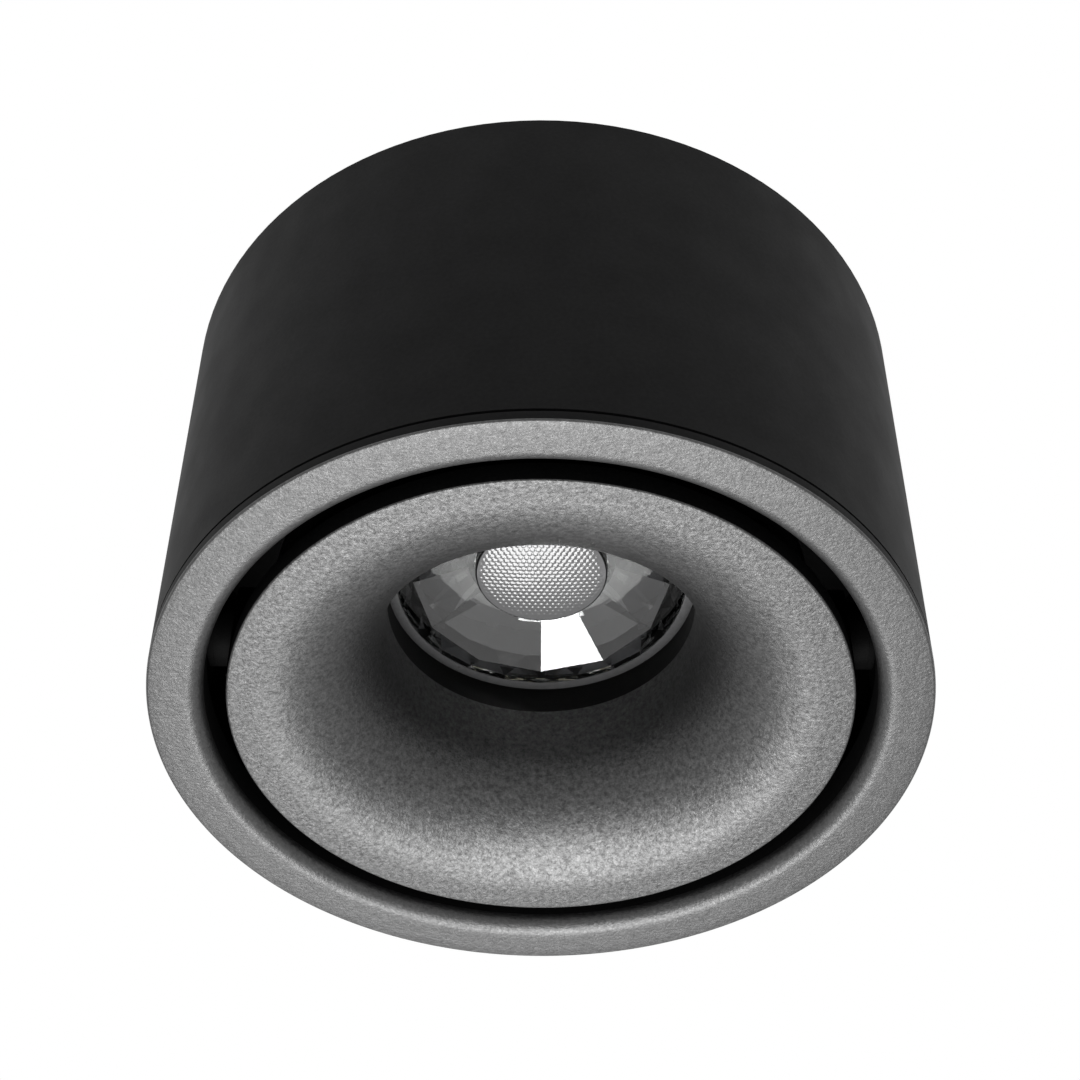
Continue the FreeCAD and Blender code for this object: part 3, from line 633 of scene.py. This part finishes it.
# Flat sectors in front, three rows of facets at the sides, and the pocket over the emitter.
# It casts no shadow, so that light reaches the holder behind it as it does through real glass.
def lens_body(material):
    tip = LENS_HIGH.z
    rise = tip - LENS_BACK_Z
    bead_edge_r = BEAD_R / math.cos(math.pi / SECTORS)
    rows = [
        (bead_edge_r, CONE_TOP_Z, True, False),
        (CONE_R, LENS_FACE_Z, True, False),
        (FLANGE_IN_R, LENS_FACE_Z, False, False),
        (FLANGE_IN_R, LENS_BACK_Z, False, False),
        (LOW_ROW_R, LENS_BACK_Z + LOW_ROW_SHARE * rise, False, True),
        (HIGH_ROW_R, LENS_BACK_Z + HIGH_ROW_SHARE * rise, False, False),
        (POCKET_R + TIP_WALL, tip, False, True),
        (POCKET_R, tip, False, True),
        (POCKET_R, (tip + CONE_TOP_Z) / 2, False, True),
    ]
    bm = bmesh.new()
    rings = [lens_ring(bm, *row) for row in rows]
    turned = [row[-1] for row in rows]
    bm.faces.new(rings[0])
    bm.faces.new(rings[-1])
    for number, (low, high) in enumerate(zip(rings, rings[1:])):
        for step in range(FACETS):
            after = (step + 1) % FACETS
            if turned[number] == turned[number + 1]:
                bm.faces.new((low[step], low[after], high[after], high[step]))
            elif turned[number]:
                bm.faces.new((low[step], low[after], high[after]))
                bm.faces.new((low[step], high[after], high[step]))
            else:
                bm.faces.new((low[step], low[after], high[step]))
                bm.faces.new((low[after], high[after], high[step]))
    piece = place("lens_body", finished("lens_body", bm, FACET_SHARP_ANGLE), "lamp_head",
                  material)
    piece.visible_shadow = False


# How far the honeycomb of lenslets stands out at a spot.  Its rows are staggered by half a cell.
def cell_height(x, y):
    row_pitch = CELL_PITCH * math.sqrt(3) / 2
    nearest = CELL_PITCH
    row = round(y / row_pitch)
    for near_row in (row - 1, row, row + 1):
        shift = CELL_PITCH / 2 if near_row % 2 else 0.0
        column = round((x - shift) / CELL_PITCH)
        distance = math.hypot(x - shift - column * CELL_PITCH, y - near_row * row_pitch)
        nearest = min(nearest, distance)
    reach = CELL_PITCH / math.sqrt(3)
    return CELL_RISE * (1 - min(nearest / reach, 1.0) ** 2)


# The domed bead in the middle of the lens.  Its honeycomb fades out over the outermost cell.  Its bevel and skirt
# are black: painted shade for the dark outline at the bead's clear step.
def bead(material, edge_painted_shade):
    face_z = CONE_TOP_Z - BEAD_RISE
    flat_r = BEAD_R - BEAD_BEVEL
    rows = int(flat_r / CELL_PITCH * ROWS_PER_CELL)
    profile = [(0.0, face_z)] + [(flat_r * (row + 1) / rows, face_z) for row in range(rows)]
    profile += rounded(flat_r, face_z + BEAD_BEVEL, BEAD_BEVEL, DOWN, OUTWARD, BEVEL_STEPS)[1:]
    profile += [(BEAD_R, CONE_TOP_Z + BEAD_SKIRT)]
    bm = bmesh.new()
    revolve(bm, profile, BEAD_STEPS, closed=False)
    for vert in bm.verts:
        radius = vert.co.xy.length
        if radius < flat_r - TINY:
            fade = min((flat_r - radius) / CELL_PITCH, 1.0)
            vert.co.z -= cell_height(vert.co.x, vert.co.y) * fade
            vert.co.z -= BEAD_DOME * (1 - (radius / flat_r) ** 2)
    # The bevel and skirt get the black edge finish: painted shade at the bead's edge.
    coat_sides(bm, lambda centre: centre.xy.length > flat_r)
    piece = place("lens_bead", finished("lens_bead", bm, BEAD_SHARP_ANGLE), "lamp_head",
                  material)
    piece.data.materials.append(edge_painted_shade)


# ---------------------------------------------------------------- light, floor and camera
def studio():
    world = bpy.data.worlds.new("studio")
    bpy.context.scene.world = world
    world.use_nodes = True
    tree = world.node_tree
    back = tree.nodes["Background"]
    back.inputs["Color"].default_value = WHITE
    strength = ramp(tree, background_rays(tree), (0.0, 1.0), (WORLD_DIFFUSE, 1.0))
    tree.links.new(strength, back.inputs["Strength"])


# A softbox behind the lamp and below it, which shines up.
def softbox():
    data = bpy.data.lights.new("softbox", "AREA")
    data.shape = "RECTANGLE"
    data.size, data.size_y = LAMP_SIZE
    data.energy = LAMP_WATTS
    light = bpy.data.objects.new("softbox", data)
    bpy.context.scene.collection.objects.link(light)
    light.location = LAMP_PLACE
    light.rotation_euler = (math.pi, 0, 0)
    light.visible_camera = False


def floor():
    bm = bmesh.new()
    corners = [(-1, -1), (1, -1), (1, 1), (-1, 1)]
    bm.faces.new([bm.verts.new((x * FLOOR_HALF, y * FLOOR_HALF, FLOOR_Z)) for x, y in corners])
    mesh = bpy.data.meshes.new("floor")
    bm.to_mesh(mesh)
    bm.free()
    material, tree, shader = new_material("floor_paper", FLOOR_MIDDLE, FLOOR_ROUGHNESS,
                                          specular=FLOOR_GLOSS)
    two_tones(tree, noise(tree, FLOOR_MOTTLE), shader, FLOOR_DARK, FLOOR_PALE)
    shader.inputs["Emission Color"].default_value = WHITE
    glow = ramp(tree, background_rays(tree), (0.0, 1.0), (0.0, FLOOR_GLOW))
    tree.links.new(glow, shader.inputs["Emission Strength"])
    mesh.materials.append(material)
    plane = bpy.data.objects.new("floor", mesh)
    bpy.context.scene.collection.objects.link(plane)


def camera():
    data = bpy.data.cameras.new("camera")
    data.lens = LENS_MM
    data.sensor_width = SENSOR_MM
    data.clip_start = CLIP_START
    eye = bpy.data.objects.new("camera", data)
    bpy.context.scene.collection.objects.link(eye)
    turn = Matrix.Rotation(math.radians(90 + CAMERA_RISE), 4, "X")
    turn = turn @ Matrix.Rotation(math.radians(CAMERA_YAW), 4, "Y")
    turn = turn @ Matrix.Rotation(math.radians(CAMERA_ROLL), 4, "Z")
    eye.matrix_world = Matrix.Translation(CAMERA_PLACE) @ turn
    bpy.context.scene.camera = eye


# ---------------------------------------------------------------- the whole lamp
def dress():
    made = all_finishes()
    for part in frame["record"]["subparts"]:
        slot = part["material_slot"]
        finish = NODE_FINISH.get(part["node"], SLOT_FINISH.get(slot, slot))
        materials = NODES[part["node"]].data.materials
        materials.clear()
        materials.append(made[finish])
    trim_ring(made["ring_sand_coat"], made["shell_coat"])
    baffle(made["sand_coat"], made["shell_coat"])
    # The lugs' black finish is painted shade in the gap beside the baffle.
    pivot_lugs(made["black_steel"])
    screw_bosses(made["black_steel"])
    lens_flange(made["flange_glass"])
    lens_body(made["lens_clear"])
    # The black plastic on the bead's edge is painted shade.
    bead(made["bead_glass"], made["black_plastic"])


camera()
studio()
softbox()
floor()
dress()
bpy.context.scene.view_settings.view_transform = "Standard"
